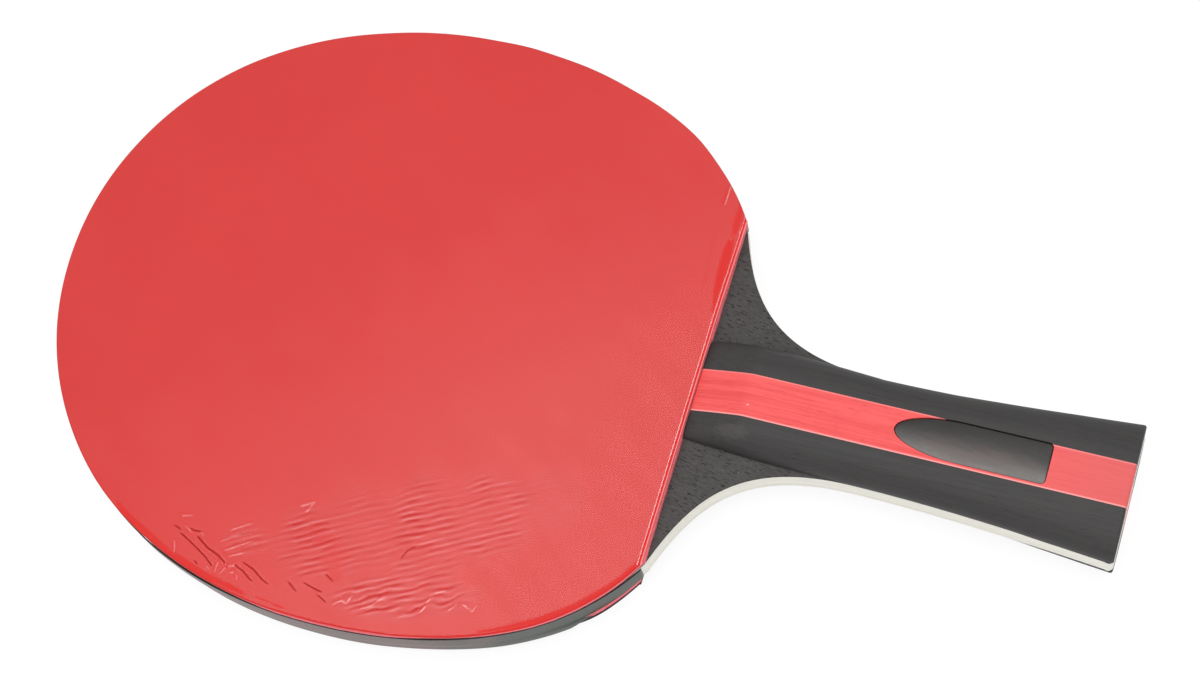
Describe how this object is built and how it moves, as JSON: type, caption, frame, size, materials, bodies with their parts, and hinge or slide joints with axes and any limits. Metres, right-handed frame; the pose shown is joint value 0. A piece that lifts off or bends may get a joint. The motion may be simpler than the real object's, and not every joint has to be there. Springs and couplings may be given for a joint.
{
  "type": "table tennis racket",
  "caption": "Table tennis racket lying flat: plywood blade, sponge-backed rubbers, taped edge, flared striped handle with a blank oval-nosed badge.",
  "frame": {"origin": "under the middle of the racket's length and width, level with the back of the handle", "axes": "+X from the blade's tip to the handle's butt, +Y to the right as the front is seen with the handle down, +Z out of the red front face"},
  "size_m": [0.2582, 0.1506, 0.02],
  "materials": {
    "core_wood": "sanded raw wood",
    "medial_wood": "sanded raw wood",
    "black_dyed_veneer": "dyed black, matte, open grain",
    "black_dyed_wood": "dyed black, satin",
    "red_dyed_wood": "dyed red, satin, fine grain",
    "sponge": "fine open-cell sponge, matte",
    "red_rubber": "smooth, semi-gloss",
    "black_rubber": "smooth, semi-gloss",
    "clear_film": "thin clear film, creased",
    "edge_tape": "black vinyl tape, semi-gloss",
    "badge_plastic": "smoked grey, glossy, blank",
    "adhesive_pad": "double-sided foam tape"
  },
  "bodies": {
    "root": {"core_ply": "core_wood", "front_medial_ply": "medial_wood", "back_medial_ply": "medial_wood", "front_outer_ply": "black_dyed_veneer", "back_outer_ply": "black_dyed_veneer", "front_sponge": "sponge", "front_topsheet": "red_rubber", "front_protective_film": "clear_film", "back_sponge": "sponge", "back_topsheet": "black_rubber", "edge_tape": "edge_tape", "front_centre_strip": "red_dyed_wood", "front_right_strip": "black_dyed_wood", "front_left_strip": "black_dyed_wood", "back_centre_strip": "red_dyed_wood", "back_right_strip": "black_dyed_wood", "back_left_strip": "black_dyed_wood", "badge_adhesive_pad": "adhesive_pad", "handle_badge": "badge_plastic"}
  },
  "joints": []
}
